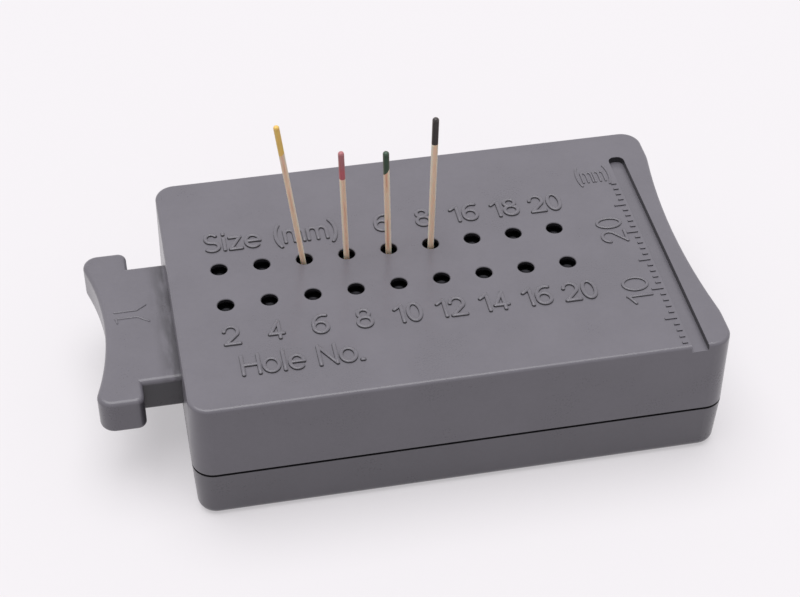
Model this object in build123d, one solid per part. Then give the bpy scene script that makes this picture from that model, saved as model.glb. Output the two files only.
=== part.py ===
from build123d import *
import os
from math import atan2, cos, degrees, radians, sin, sqrt

os.makedirs("parts", exist_ok=True)

# A pocket gauge for tapered points, with a millimetre ruler along its right end.
# Millimetres. The origin is the middle of the base's flat bottom. +X runs to the ruler end,
# +Y to the rear and +Z up. The T-handle leaves the casing at its left end.

# Casing, measured at the parting line
body_length = 60.0
body_width = 38.7
body_height = 16.5
housing_height = 9.95
corner_radius = 2.4
end_hollow = 1.1
end_shoulder = 5.35
end_shoulder_radius = 9.0
housing_draft = 0.7
base_draft = 2.7
top_edge_radius = 0.4
bottom_edge_radius = 1.2
wall = 1.7
top_wall = 1.6
floor_thickness = 1.6
parting_groove_height = 0.3
least_corner_radius = 0.3
parting_groove_depth = 0.5
floor_rib_height = 2.0
floor_rib_thickness = 0.9
floor_rib_y = 7.0
floor_rib_count = 3
lip_height = 1.2
lip_thickness = 0.8
lip_clearance = 0.1

# Gauge holes in the top
hole_count = 9
hole_pitch = 4.91
hole_diameter = 1.9
hole_rim_chamfer = 0.1
hole_land = 0.45
relief_width = 3.2
first_hole_margin = 6.0
row_gap = 6.08
row_centre_y = 0.0

# Ruler
ruler_marks = 29
tick_spacing = 1.0
tick_width = 0.26
tick_height = 0.14
short_tick = 0.6
long_tick = 1.35
tick_to_groove = 0.3
ruler_zero_beyond = 0.05
groove_margin = 3.95
groove_width = 1.9
groove_depth = 0.8
groove_end_margin = 4.75
groove_corner_radius = 0.8

# Gauge plate
plate_left_margin = 1.0
plate_stop_margin = 2.5
plate_overhang = 1.3
plate_thickness = 0.8
plate_sink = 0.4
plate_fit = 0.15
smallest_bore = 0.70
bore_step = 0.03
bore_lead_in = 0.25

# Blade plate
blade_thickness = 0.5
blade_gap = 0.05
blade_half_width = 6.8
blade_end_margin = 0.5
window_behind = 1.7
window_ahead = 0.75
window_width = 2.4
window_bevel = 0.3
window_land = 0.1

# Carriage
carriage_thickness = 5.75
carriage_corner = 0.4
chip_slot_width = 2.8
chip_slot_start = 0.4
chip_slot_end = 0.5
coring_depth = 3.6
coring_start = 2.2
coring_inner_wall = 1.7
coring_side_wall = 2.2
coring_to_pocket = 3.0

# Handle
stroke = 3.8
stop_gap = 0.1
handle_step = 1.25
handle_thickness = 4.4
neck_half_width = 9.6
ear_half_width = 12.5
ear_gap = 4.2
ear_depth = 5.75
finger_hollow = 2.35
ear_outer_radius = 1.7
ear_inner_radius = 1.0
handle_edge_radius = 0.55
window_clearance = 0.15
tongue_inset = 0.45
tongue_width = 3.4
tongue_length = 7.6
tongue_thickness = 2.2
tongue_drop = 1.0
tongue_clearance = 0.05

# Guide rails
rail_left_margin = 1.4
rail_stop_margin = 2.7
rail_side_margin = 4.55
rail_web = 1.6
rail_drop = 7.1
slide_clearance = 0.1
flange_reach = 1.2
flange_thickness = 0.75
flange_clearance = 0.05
lug_thickness = 1.6
lug_radius = 2.1
lug_drop = 3.9
lug_side_margin = 2.4
lug_left_margin = 6.9
lug_right_margin = 3.5
lug_count = 3

# Screws
screw_hole_clearance = 0.05
through_hole_clearance = 0.15
screw_head_clearance = 0.2
screw_hole_spare = 0.3
rail_screw_diameter = 1.8
rail_screw_bite = 3.3
rail_head_diameter = 3.2
rail_head_height = 1.1
cover_screw_end_margin = 4.6
cover_screw_side_margin = 3.55
cover_post_radius = 2.5
cover_screw_diameter = 2.0
cover_screw_bite = 5.6
cover_head_diameter = 3.6
cover_head_height = 1.5
cover_head_sink = 2.3
handle_screw_diameter = 1.6
handle_screw_bite = 0.9
handle_head_diameter = 3.0
handle_head_height = 0.9
handle_screw_back = 3.8
blade_screw_diameter = 1.2
blade_screw_length = 3.0
blade_screw_head_diameter = 2.0
blade_screw_head_depth = 0.4
blade_screw_gaps = (0, 4, 7)
drive_width = 0.35
drive_share = 0.62
drive_depth = 0.6
head_edge_share = 0.3
shank_end_share = 0.2

# Return springs and their pins
end_rib_space = 5.0
end_rib_thickness = 1.7
end_rib_side_gap = 0.3
end_rib_drop = 7.5
gusset_thickness = 1.2
gusset_y = 4.5
spring_side_margin = 3.2
spring_diameter = 3.2
spring_wire = 0.3
spring_wire_sides = 6
spring_turns = 8
pocket_depth = 12.0
pocket_clearance = 0.2
pin_diameter = 1.6
pin_reach = 9.4
pin_head_diameter = 2.6
pin_head_length = 0.7
pin_fit = 0.02
pin_end_chamfer = 0.3

# Points standing in neighbouring holes of the rear row, each with its lean to the right in
# degrees and its rise above the top face
first_point_hole = 2
yellow_lean = -7.0
yellow_rise = 19.25
red_lean = -1.65
red_rise = 14.75
green_lean = -1.35
green_rise = 14.05
black_lean = 0.75
black_rise = 17.9
point_taper = 0.002
point_fit = 0.065
point_head_rounding = 0.8

# Cutting shapes run past the face they open, and joined shapes root in what carries them
overrun = 1.0
root = 0.5

# Levels
parting_height = body_height - housing_height
underside = body_height - top_wall
plate_top = underside + plate_sink
plate_bottom = plate_top - plate_thickness
blade_top = plate_bottom - blade_gap
carriage_top = blade_top - blade_thickness
carriage_bottom = carriage_top - carriage_thickness
flange_top = carriage_bottom - flange_clearance
rail_bottom = plate_bottom - rail_drop
handle_top = carriage_top - handle_step
boss_bottom = underside - lug_drop
handle_bottom = handle_top - handle_thickness
tongue_top = handle_top - tongue_drop
tongue_bottom = tongue_top - tongue_thickness
spring_z = (carriage_top + carriage_bottom) / 2

# Lengthwise places
left_end = -body_length / 2
right_end = body_length / 2
end_middle = right_end - end_hollow
inner_left = left_end + wall
inner_right = end_middle - wall
stop_face = inner_right - end_rib_space
rib_right = stop_face + end_rib_thickness
carriage_right = stop_face - stop_gap - stroke
plate_left = inner_left + plate_left_margin
plate_right = stop_face - plate_stop_margin
rail_left = inner_left + rail_left_margin
rail_right = stop_face - rail_stop_margin
first_lug = rail_left + lug_left_margin
lug_pitch = (rail_right - lug_right_margin - first_lug) / (lug_count - 1)
first_hole_x = left_end + first_hole_margin
groove_x = end_middle - groove_margin

# Crosswise places
half_width = body_width / 2
hollow_half_width = half_width - end_shoulder
end_radius = (hollow_half_width ** 2 + end_hollow ** 2) / (2 * end_hollow)
end_centre_x = end_middle + end_radius
inner_half_width = half_width - wall
rail_y = inner_half_width - rail_side_margin - rail_web
lug_y = inner_half_width - lug_side_margin
carriage_half_width = rail_y - slide_clearance
plate_half_width = rail_y + plate_overhang
end_rib_half_width = rail_y - end_rib_side_gap
spring_y = carriage_half_width - spring_side_margin
tongue_inner_y = neck_half_width - tongue_inset - tongue_width
coring_inner_y = row_gap / 2 + chip_slot_width / 2 + coring_inner_wall
groove_end_y = half_width - groove_end_margin
ruler_zero_y = -half_width - ruler_zero_beyond
rows_y = {"front": row_centre_y - row_gap / 2, "rear": row_centre_y + row_gap / 2}


def block(x0, x1, y0, y1, z0, z1):
    """A box between two corners."""
    centre = Pos((x0 + x1) / 2, (y0 + y1) / 2, (z0 + z1) / 2)
    return centre * Box(x1 - x0, y1 - y0, z1 - z0)


def rod(x, y, z0, z1, radius):
    """An upright cylinder between two heights."""
    return Pos(x, y, (z0 + z1) / 2) * Cylinder(radius, z1 - z0)


def lying_rod(x0, x1, y, z, radius):
    """A cylinder along X."""
    return Pos((x0 + x1) / 2, y, z) * Rot(0, 90, 0) * Cylinder(radius, x1 - x0)


def hole_x(index):
    return first_hole_x + index * hole_pitch


def hole_places():
    """Row, place along the row, x and y of each gauge hole."""
    return [(row, i, hole_x(i), y) for row, y in rows_y.items() for i in range(hole_count)]


def bore_diameter(row, index):
    """The calibrated bores grow along the rear row and then along the front row."""
    step = index if row == "rear" else index + hole_count
    return smallest_bore + step * bore_step


def casing_outline(inset=0.0):
    """The casing seen from above, drawn in all round, with a hollow in its right end."""
    half = half_width - inset
    left = left_end + inset
    right = right_end - inset
    radius = end_radius + inset
    round_radius = end_shoulder_radius - inset
    away_x = end_centre_x - right + round_radius
    round_y = sqrt((radius + round_radius) ** 2 - away_x ** 2)
    turn = degrees(atan2(round_y, away_x))
    round_x = right - round_radius
    edges = [
        Line((left, -half), (right, -half)),
        Line((right, -half), (right, -round_y)),
        CenterArc((round_x, -round_y), round_radius, 0, turn),
        CenterArc((end_centre_x, 0), radius, 180 - turn, 2 * turn),
        CenterArc((round_x, round_y), round_radius, 0, -turn),
        Line((right, round_y), (right, half)),
        Line((right, half), (left, half)),
        Line((left, half), (left, -half)),
    ]
    face = make_face(edges)
    corners = face.vertices().filter_by(lambda v: abs(v.Y) > (round_y + half) / 2)
    return fillet(corners, max(corner_radius - inset, least_corner_radius))


def casing_slab(z0, z1, inset=0.0, taper=0.0):
    """The casing's outline carried from one height to another."""
    direction = 1 if z1 > z0 else -1
    face = Pos(0, 0, z0) * casing_outline(inset)
    return extrude(face, abs(z1 - z0), dir=(0, 0, direction), taper=taper)


def cover_screw_places():
    x = right_end - cover_screw_end_margin
    y = half_width - cover_screw_side_margin
    return [(sx * x, sy * y) for sx in (-1, 1) for sy in (-1, 1)]


def rail_screw_places(side):
    return [(first_lug + i * lug_pitch, side * lug_y) for i in range(lug_count)]


def ruler_ticks():
    """Raised marks, one each millimetre from the front edge, with every fifth one longer."""
    ticks = []
    for mark in range(1, ruler_marks + 1):
        length = long_tick if mark % 5 == 0 else short_tick
        y = ruler_zero_y + mark * tick_spacing
        right = groove_x - tick_to_groove
        ticks.append(
            block(
                right - length, right,
                y - tick_width / 2, y + tick_width / 2,
                body_height - 2 * tick_height, body_height + tick_height,
            )
        )
    return ticks


def ruler_groove():
    """Channel beside the ticks, open at the front and closed at the rear."""
    depth_z = body_height - groove_depth
    front = -half_width - overrun
    top = body_height + overrun
    cut = block(groove_x, groove_x + groove_width, front, groove_end_y, depth_z, top)
    rear_edges = cut.edges().filter_by(Axis.Z).group_by(Axis.Y)[-1]
    return fillet(rear_edges, min(groove_corner_radius, 0.45 * groove_width))


def hole_reliefs():
    """A channel above the gauge plate along each row, which leaves the holes a thin land."""
    run = hole_x(hole_count - 1) - hole_x(0)
    top = body_height - hole_land
    slot = extrude(SlotOverall(run + relief_width, relief_width), top - plate_top + root)
    return [Pos(hole_x(0) + run / 2, y, plate_top - root) * slot for y in rows_y.values()]


def make_upper_housing():
    outer = casing_slab(parting_height, body_height, taper=housing_draft)
    outer = fillet(outer.faces().sort_by(Axis.Z)[-1].edges(), top_edge_radius)
    shell = outer - casing_slab(parting_height - overrun, underside, inset=wall)

    groove_top = parting_height + parting_groove_height
    groove = casing_slab(parting_height - overrun, groove_top, inset=-overrun)
    groove -= casing_slab(parting_height - 2 * overrun, groove_top + overrun, inset=parting_groove_depth)
    shell -= groove

    window_half = neck_half_width + window_clearance
    shell -= block(
        left_end - overrun, inner_left + root, -window_half, window_half,
        handle_bottom - window_clearance, handle_top + window_clearance,
    )

    boss_root = underside + root
    bosses = []
    for x, y in cover_screw_places():
        bosses.append(rod(x, y, parting_height, boss_root, cover_post_radius))
    for side in (-1, 1):
        for x, y in rail_screw_places(side):
            bosses.append(rod(x, y, boss_bottom, boss_root, lug_radius))
    rib_bottom = underside - end_rib_drop
    bosses.append(
        block(stop_face, rib_right, -end_rib_half_width, end_rib_half_width, rib_bottom, boss_root)
    )
    gusset_bottom = (rib_bottom + underside) / 2
    for side in (-1, 1):
        y = side * gusset_y
        bosses.append(
            block(
                rib_right - root, inner_right + wall / 2,
                y - gusset_thickness / 2, y + gusset_thickness / 2, gusset_bottom, boss_root,
            )
        )
    inside = casing_slab(parting_height, boss_root, inset=wall / 2)
    shell += [boss & inside for boss in bosses]

    shell -= block(
        plate_left - plate_fit, plate_right + plate_fit,
        -plate_half_width - plate_fit, plate_half_width + plate_fit,
        carriage_top, plate_top,
    )

    cuts = []
    for _, _, x, y in hole_places():
        cuts.append(rod(x, y, plate_top - root, body_height + overrun, hole_diameter / 2))
        rim = Pos(x, y, body_height - hole_rim_chamfer / 2)
        cuts.append(rim * Cone(hole_diameter / 2, hole_diameter / 2 + hole_rim_chamfer, hole_rim_chamfer))
    cuts += hole_reliefs()
    for x, y in cover_screw_places():
        radius = cover_screw_diameter / 2 + screw_hole_clearance
        top = parting_height + cover_screw_bite + screw_hole_spare
        cuts.append(rod(x, y, parting_height - overrun, top, radius))
    for side in (-1, 1):
        for x, y in rail_screw_places(side):
            radius = rail_screw_diameter / 2 + screw_hole_clearance
            top = boss_bottom + rail_screw_bite + screw_hole_spare
            cuts.append(rod(x, y, boss_bottom - overrun, top, radius))
        radius = pin_diameter / 2 + pin_fit
        cuts.append(lying_rod(stop_face - overrun, rib_right + overrun, side * spring_y, spring_z, radius))
    shell -= cuts
    shell -= ruler_groove()
    shell += ruler_ticks()
    return shell


def floor_ribs():
    """Stiffening ribs on the base's floor: two along it and a few across."""
    low = floor_thickness / 2
    high = floor_thickness + floor_rib_height
    half = floor_rib_thickness / 2
    ribs = []
    for y in (-floor_rib_y, floor_rib_y):
        ribs.append(block(left_end, right_end, y - half, y + half, low, high))
    bay = (inner_right - inner_left) / (floor_rib_count + 1)
    for i in range(1, floor_rib_count + 1):
        x = inner_left + i * bay
        ribs.append(block(x - half, x + half, -half_width, half_width, low, high))
    return ribs


def make_base_shell():
    outer = casing_slab(parting_height, 0, taper=base_draft)
    outer = fillet(outer.faces().sort_by(Axis.Z)[0].edges(), bottom_edge_radius)
    thick_wall = wall + lip_clearance + lip_thickness
    shell = outer - casing_slab(floor_thickness, parting_height + overrun, inset=thick_wall)

    lip_top = parting_height + lip_height
    lip = casing_slab(parting_height - root, lip_top, inset=wall + lip_clearance)
    lip -= casing_slab(parting_height - overrun, lip_top + overrun, inset=thick_wall)
    for x, y in cover_screw_places():
        lip -= rod(x, y, parting_height, lip_top + overrun, cover_post_radius + 2 * lip_clearance)
    shell += lip

    keep = casing_slab(floor_thickness / 2, parting_height, inset=wall / 2)
    shell += [rib & keep for rib in floor_ribs()]
    for x, y in cover_screw_places():
        shell += rod(x, y, floor_thickness / 2, parting_height, cover_post_radius) & keep
    for x, y in cover_screw_places():
        shank = cover_screw_diameter / 2 + through_hole_clearance
        head = cover_head_diameter / 2 + screw_head_clearance
        shell -= rod(x, y, -overrun, parting_height + overrun, shank)
        shell -= rod(x, y, -overrun, cover_head_sink, head)
    return shell


def make_gauge_plate():
    plate = block(
        plate_left, plate_right, -plate_half_width, plate_half_width, plate_bottom, plate_top
    )
    cuts = []
    for row, i, x, y in hole_places():
        radius = bore_diameter(row, i) / 2
        cuts.append(rod(x, y, plate_bottom - overrun, plate_top + overrun, radius))
        lead_in = Pos(x, y, plate_top - bore_lead_in / 2)
        cuts.append(lead_in * Cone(radius, radius + bore_lead_in, bore_lead_in))
    return plate - cuts


def blade_window(x, y):
    """A window whose left edge is bevelled from below, which leaves it sharp at the top."""
    left = x - window_behind
    right = x + window_ahead
    section = Polyline(
        (left, 0, blade_top + overrun), (right, 0, blade_top + overrun), (right, 0, carriage_top - overrun),
        (left - window_bevel, 0, carriage_top - overrun), (left - window_bevel, 0, carriage_top),
        (left, 0, blade_top - window_land), close=True,
    )
    return Pos(0, y + window_width / 2, 0) * extrude(make_face(section), window_width, dir=(0, -1, 0))


def blade_screw_places():
    return [(hole_x(i) + hole_pitch / 2, row_centre_y) for i in blade_screw_gaps]


def make_blade_plate():
    plate = block(
        inner_left + blade_end_margin, carriage_right - blade_end_margin,
        row_centre_y - blade_half_width, row_centre_y + blade_half_width, carriage_top, blade_top,
    )
    cuts = [blade_window(x, y) for _, _, x, y in hole_places()]
    for x, y in blade_screw_places():
        shank = blade_screw_diameter / 2 + screw_hole_clearance
        head = blade_screw_head_diameter / 2 + screw_hole_clearance
        cuts.append(rod(x, y, carriage_top - overrun, blade_top + overrun, shank))
        sink = Pos(x, y, blade_top - blade_screw_head_depth / 2)
        cuts.append(sink * Cone(shank, head, blade_screw_head_depth))
    return plate - cuts


def make_blade_screws():
    screws = []
    for x, y in blade_screw_places():
        head = Pos(x, y, blade_top - blade_screw_head_depth / 2) * Cone(
            blade_screw_diameter / 2, blade_screw_head_diameter / 2, blade_screw_head_depth
        )
        shank = rod(
            x, y, blade_top - blade_screw_length, blade_top - blade_screw_head_depth / 2,
            blade_screw_diameter / 2,
        )
        slot = block(
            x - blade_screw_head_diameter, x + blade_screw_head_diameter,
            y - drive_width / 2, y + drive_width / 2,
            blade_top - blade_screw_head_depth / 2, blade_top + overrun,
        )
        screws.append(head + shank - slot)
    return screws


def tongue_block(side, grow=0.0):
    """One of the handle's two tongues, or the slot for it when it is grown by a clearance."""
    low = side * tongue_inner_y
    high = side * (tongue_inner_y + tongue_width)
    return block(
        inner_left - root, inner_left + tongue_length + grow,
        min(low, high) - grow, max(low, high) + grow,
        tongue_bottom - grow, tongue_top + grow,
    )


def handle_screw_places():
    x = inner_left + handle_screw_back
    y = tongue_inner_y + tongue_width / 2
    return [(x, -y), (x, y)]


def make_blade_carriage():
    body = block(
        inner_left, carriage_right, -carriage_half_width, carriage_half_width,
        carriage_bottom, carriage_top,
    )
    body = chamfer(body.edges().filter_by(Axis.Z), carriage_corner)
    cuts = []
    for y in rows_y.values():
        cuts.append(
            block(
                hole_x(0) - window_behind - chip_slot_start,
                hole_x(hole_count - 1) + window_ahead + chip_slot_end,
                y - chip_slot_width / 2, y + chip_slot_width / 2,
                carriage_bottom - overrun, carriage_top + overrun,
            )
        )
    for side in (-1, 1):
        cuts.append(tongue_block(side, tongue_clearance))
        cuts.append(
            lying_rod(
                carriage_right - pocket_depth, carriage_right + overrun, side * spring_y, spring_z,
                spring_diameter / 2 + pocket_clearance,
            )
        )
        core_left = inner_left + tongue_length + coring_start
        core_right = carriage_right - pocket_depth - coring_to_pocket
        low = side * coring_inner_y
        high = side * (carriage_half_width - coring_side_wall)
        cuts.append(
            block(
                core_left, core_right, min(low, high), max(low, high),
                carriage_bottom - overrun, carriage_bottom + coring_depth,
            )
        )
    for x, y in handle_screw_places():
        top = handle_screw_top() + screw_hole_spare
        cuts.append(rod(x, y, carriage_bottom - overrun, top, handle_screw_hole()))
        cuts.append(
            rod(
                x, y, carriage_bottom - overrun, carriage_bottom + handle_head_height,
                handle_head_diameter / 2 + screw_head_clearance,
            )
        )
    for x, y in blade_screw_places():
        bottom = blade_top - blade_screw_length - screw_hole_spare
        radius = blade_screw_diameter / 2 + screw_hole_clearance
        cuts.append(rod(x, y, bottom, carriage_top + overrun, radius))
    return body - cuts


def handle_screw_hole():
    return handle_screw_diameter / 2 + screw_hole_clearance


def handle_screw_top():
    return tongue_top + handle_screw_bite


def make_push_handle():
    ear_inner = left_end - ear_gap
    ear_outer = ear_inner - ear_depth
    edges = [
        Line((inner_left, -neck_half_width), (ear_inner, -neck_half_width)),
        Line((ear_inner, -neck_half_width), (ear_inner, -ear_half_width)),
        Line((ear_inner, -ear_half_width), (ear_outer, -ear_half_width)),
        ThreePointArc(
            (ear_outer, -ear_half_width), (ear_outer + finger_hollow, 0), (ear_outer, ear_half_width)
        ),
        Line((ear_outer, ear_half_width), (ear_inner, ear_half_width)),
        Line((ear_inner, ear_half_width), (ear_inner, neck_half_width)),
        Line((ear_inner, neck_half_width), (inner_left, neck_half_width)),
        Line((inner_left, neck_half_width), (inner_left, -neck_half_width)),
    ]
    plan = make_face(edges)
    plan = fillet(plan.vertices().group_by(Axis.X)[0], ear_outer_radius)
    beyond_neck = (neck_half_width + ear_half_width) / 2
    ear_ends = plan.vertices().filter_by(lambda v: abs(v.Y) > beyond_neck)
    plan = fillet(ear_ends.group_by(Axis.X)[-1], ear_inner_radius)
    tee = extrude(Pos(0, 0, handle_bottom) * plan, handle_thickness)
    rims = tee.faces().sort_by(Axis.Z)
    edges = [e for e in rims[0].edges() + rims[-1].edges() if e.center().X < left_end]
    tee = fillet(edges, handle_edge_radius)
    for side in (-1, 1):
        tee += tongue_block(side)
    for x, y in handle_screw_places():
        tee -= rod(x, y, handle_bottom - overrun, handle_top + overrun, handle_screw_hole())
    return tee


def make_rail(side):
    top = plate_bottom
    rail = block(rail_left, rail_right, rail_y, rail_y + rail_web, rail_bottom, top)
    rail += block(
        rail_left, rail_right, rail_y - flange_reach, rail_y + rail_web / 2,
        flange_top - flange_thickness, flange_top,
    )
    for x, y in rail_screw_places(1):
        lug = rod(x, y, boss_bottom - lug_thickness, boss_bottom, lug_radius)
        lug += block(
            x - lug_radius, x + lug_radius, rail_y + rail_web / 2, y,
            boss_bottom - lug_thickness, boss_bottom,
        )
        rail += lug
        radius = rail_screw_diameter / 2 + 2 * screw_hole_clearance
        rail -= rod(x, y, boss_bottom - lug_thickness - overrun, boss_bottom + overrun, radius)
    return rail if side > 0 else mirror(rail, about=Plane.XZ)


def pan_screw(x, y, seat, head_diameter, head_height, shank_diameter, shank_length):
    """A pan-head screw driven upwards, with its head under the seat and a cross drive below."""
    head = rod(x, y, seat - head_height, seat, head_diameter / 2)
    head = chamfer(head.faces().sort_by(Axis.Z)[0].edges(), head_height * head_edge_share)
    shank = rod(x, y, seat - head_height / 2, seat + shank_length, shank_diameter / 2)
    shank = chamfer(shank.faces().sort_by(Axis.Z)[-1].edges(), shank_diameter * shank_end_share)
    reach = head_diameter * drive_share / 2
    low = seat - head_height - overrun
    high = seat - head_height + min(drive_depth, head_height * drive_share)
    half = drive_width / 2
    cross = block(x - reach, x + reach, y - half, y + half, low, high)
    cross += block(x - half, x + half, y - reach, y + reach, low, high)
    return head + shank - cross


def make_rail_screws():
    return [
        pan_screw(
            x, y, boss_bottom - lug_thickness, rail_head_diameter, rail_head_height,
            rail_screw_diameter, lug_thickness + rail_screw_bite,
        )
        for side in (-1, 1)
        for x, y in rail_screw_places(side)
    ]


def make_cover_screws():
    return [
        pan_screw(
            x, y, cover_head_sink, cover_head_diameter, cover_head_height,
            cover_screw_diameter, parting_height - cover_head_sink + cover_screw_bite,
        )
        for x, y in cover_screw_places()
    ]


def make_handle_screws():
    seat = carriage_bottom + handle_head_height
    return [
        pan_screw(
            x, y, seat, handle_head_diameter, handle_head_height,
            handle_screw_diameter, handle_screw_top() - seat,
        )
        for x, y in handle_screw_places()
    ]


def make_spring(side):
    """A coil that reaches from the floor of its pocket in the carriage to the end rib."""
    start = carriage_right - pocket_depth
    length = stop_face - start - spring_wire
    helix = Helix(
        pitch=length / spring_turns, height=length, radius=(spring_diameter - spring_wire) / 2
    )
    section = Plane(origin=helix @ 0, z_dir=helix % 0) * RegularPolygon(spring_wire / 2, spring_wire_sides)
    coil = sweep(section, path=helix)
    return Pos(start + spring_wire / 2, side * spring_y, spring_z) * Rot(0, 90, 0) * coil


def make_spring_pin(side):
    shank = lying_rod(stop_face - pin_reach, rib_right, side * spring_y, spring_z, pin_diameter / 2)
    shank = chamfer(shank.faces().sort_by(Axis.X)[0].edges(), pin_end_chamfer)
    head = lying_rod(
        rib_right, rib_right + pin_head_length, side * spring_y, spring_z, pin_head_diameter / 2
    )
    return shank + head


def make_point(index, lean, rise):
    """A tapered point with a domed head, trimmed flush with the underside of the gauge plate."""
    pivot_z = (plate_top + plate_bottom) / 2
    along = Vector(sin(radians(lean)), 0, cos(radians(lean)))
    up = (body_height + rise - pivot_z) / along.Z
    down = plate_thickness
    radius = bore_diameter("rear", index) / 2 - point_fit
    start = Vector(hole_x(index), rows_y["rear"], pivot_z) - along * down
    low = radius - point_taper / 2 * down
    high = radius + point_taper / 2 * up
    cone = Plane(origin=start, z_dir=along) * Cone(
        low, high, up + down, align=(Align.CENTER, Align.CENTER, Align.MIN)
    )
    cone = fillet(cone.faces().sort_by(Axis.Z)[-1].edges(), point_head_rounding * high)
    trim = block(
        start.X - overrun, start.X + overrun, start.Y - overrun, start.Y + overrun,
        plate_bottom - overrun, plate_bottom,
    )
    return cone - trim


def write(name, shape):
    """One STEP file for one node; a list of solids becomes a group."""
    if isinstance(shape, list):
        shape = Compound(children=[s if isinstance(s, Solid) else s.solid() for s in shape])
    export_step(shape, f"parts/{name}.step")


write("upper_housing", make_upper_housing())
write("base_shell", make_base_shell())
write("gauge_plate", make_gauge_plate())
write("blade_plate", make_blade_plate())
write("blade_screws", make_blade_screws())
write("blade_carriage", make_blade_carriage())
write("push_handle", make_push_handle())
write("handle_screws", make_handle_screws())
write("rail_screws", make_rail_screws())
write("cover_screws", make_cover_screws())
for label, side in (("front", -1), ("rear", 1)):
    write(f"guide_rail_{label}", make_rail(side))
    write(f"return_spring_{label}", make_spring(side))
    write(f"spring_pin_{label}", make_spring_pin(side))
points = (
    ("yellow", yellow_lean, yellow_rise),
    ("red", red_lean, red_rise),
    ("green", green_lean, green_rise),
    ("black", black_lean, black_rise),
)
for index, (colour, lean, rise) in enumerate(points, start=first_point_hole):
    write(f"point_{colour}", make_point(index, lean, rise))
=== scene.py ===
from math import cos, radians, sin, tan
from typing import NamedTuple

import bpy
from bpy.props import FloatProperty, FloatVectorProperty, PointerProperty
from mathutils import Euler, Matrix, Vector


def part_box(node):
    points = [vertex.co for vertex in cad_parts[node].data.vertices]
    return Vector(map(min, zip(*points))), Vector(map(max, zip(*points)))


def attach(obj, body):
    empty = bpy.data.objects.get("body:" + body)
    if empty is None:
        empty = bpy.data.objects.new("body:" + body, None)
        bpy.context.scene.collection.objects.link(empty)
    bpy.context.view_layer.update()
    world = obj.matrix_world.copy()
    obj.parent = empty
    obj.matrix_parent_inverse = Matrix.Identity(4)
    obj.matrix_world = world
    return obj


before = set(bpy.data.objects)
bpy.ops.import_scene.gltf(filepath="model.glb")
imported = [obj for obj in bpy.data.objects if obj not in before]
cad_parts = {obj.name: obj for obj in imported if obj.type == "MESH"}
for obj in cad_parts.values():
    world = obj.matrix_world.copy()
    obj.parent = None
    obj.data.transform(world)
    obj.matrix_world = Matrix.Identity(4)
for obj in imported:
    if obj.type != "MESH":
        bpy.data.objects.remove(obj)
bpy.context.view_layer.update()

bl_info = {
    "name": "Point gauge with ruler",
    "version": (1, 0, 0),
    "blender": (4, 5, 0),
    "location": "View3D > Sidebar > Point Gauge",
    "description": "Finishes, raised lettering and a plain studio for a point gauge with a ruler",
    "category": "Object",
}

MM = 0.001
CASING = "casing"
SLIDE = "cutter_slide"

# Places that the parts in model.glb give, in metres
HOUSING_LOW, HOUSING_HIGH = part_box("upper_housing")
HANDLE_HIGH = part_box("push_handle")[1]
PLATE_LOW, PLATE_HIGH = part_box("gauge_plate")
PLATE_MIDDLE = (PLATE_LOW.z + PLATE_HIGH.z) / 2

# Sizes of the CAD that model.glb doesn't give. The holes of a row are counted from 0, at the
# left, and a point's radius is the one that its paint is spread over
TICK_HEIGHT = 0.14 * MM
TOP_FACE = HOUSING_HIGH.z - TICK_HEIGHT
EAR_INNER_X = HOUSING_LOW.x - 4.2 * MM
FIRST_HOLE_X = HOUSING_LOW.x + 6.0 * MM
HOLE_PITCH = 4.91 * MM
POINT_RADIUS = 0.33 * MM

# The soft edges of the painted shade, and of the smears on the neck: where each one starts and
# where it ends. The ones of the holes and the groove are X, or the distance from the part's
# middle along Y, or Z
UNDER_TOP_FACE = (TOP_FACE - 0.10 * MM, TOP_FACE - 0.04 * MM)
HOLES_LEFT = (-26.2 * MM, -26.0 * MM)
HOLES_RIGHT = (17.0 * MM, 17.2 * MM)
HOLES_SIDE = (4.6 * MM, 4.8 * MM)
GROOVE_LEFT = (24.92 * MM, 24.97 * MM)
GROOVE_RIGHT = (26.86 * MM, 26.90 * MM)
GROOVE_END = (14.7 * MM, 14.9 * MM)
GROOVE_FLOOR = (TOP_FACE - 0.79 * MM, TOP_FACE - 0.74 * MM)
TICK_FOOT = (TOP_FACE + 0.002 * MM, TOP_FACE + 0.01 * MM)
TICK_TOP = (TOP_FACE + 0.10 * MM, TOP_FACE + 0.13 * MM)
PARTING_RIM = (HOUSING_LOW.z - 0.03 * MM, HOUSING_LOW.z - 0.01 * MM)
NECK_END = (HOUSING_LOW.x - 2.6 * MM, HOUSING_LOW.x)
EAR_INNER_SIDE = (EAR_INNER_X - 0.7 * MM, EAR_INNER_X - 0.2 * MM)
HANDLE_TOP_EDGE = (HANDLE_HIGH.z - 0.7 * MM, HANDLE_HIGH.z - 0.45 * MM)


class GaugeShell(bpy.types.PropertyGroup):
    """The moulded grey of the two shells and the handle."""

    colour: FloatVectorProperty(
        name="Shell colour", description="Moulded grey with a slight violet cast",
        subtype="COLOR", min=0, max=1, default=(0.162, 0.154, 0.177),
    )
    roughness: FloatProperty(
        name="Roughness", description="How satin the moulded plastic is",
        subtype="FACTOR", min=0, max=1, default=0.30,
    )
    grain_size: FloatProperty(
        name="Grain size", description="Spacing of the fine grain that the mould leaves",
        unit="LENGTH", default=0.22 * MM,
    )
    grain_depth: FloatProperty(
        name="Grain depth", description="Height of the fine grain",
        unit="LENGTH", default=0.002 * MM,
    )


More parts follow.
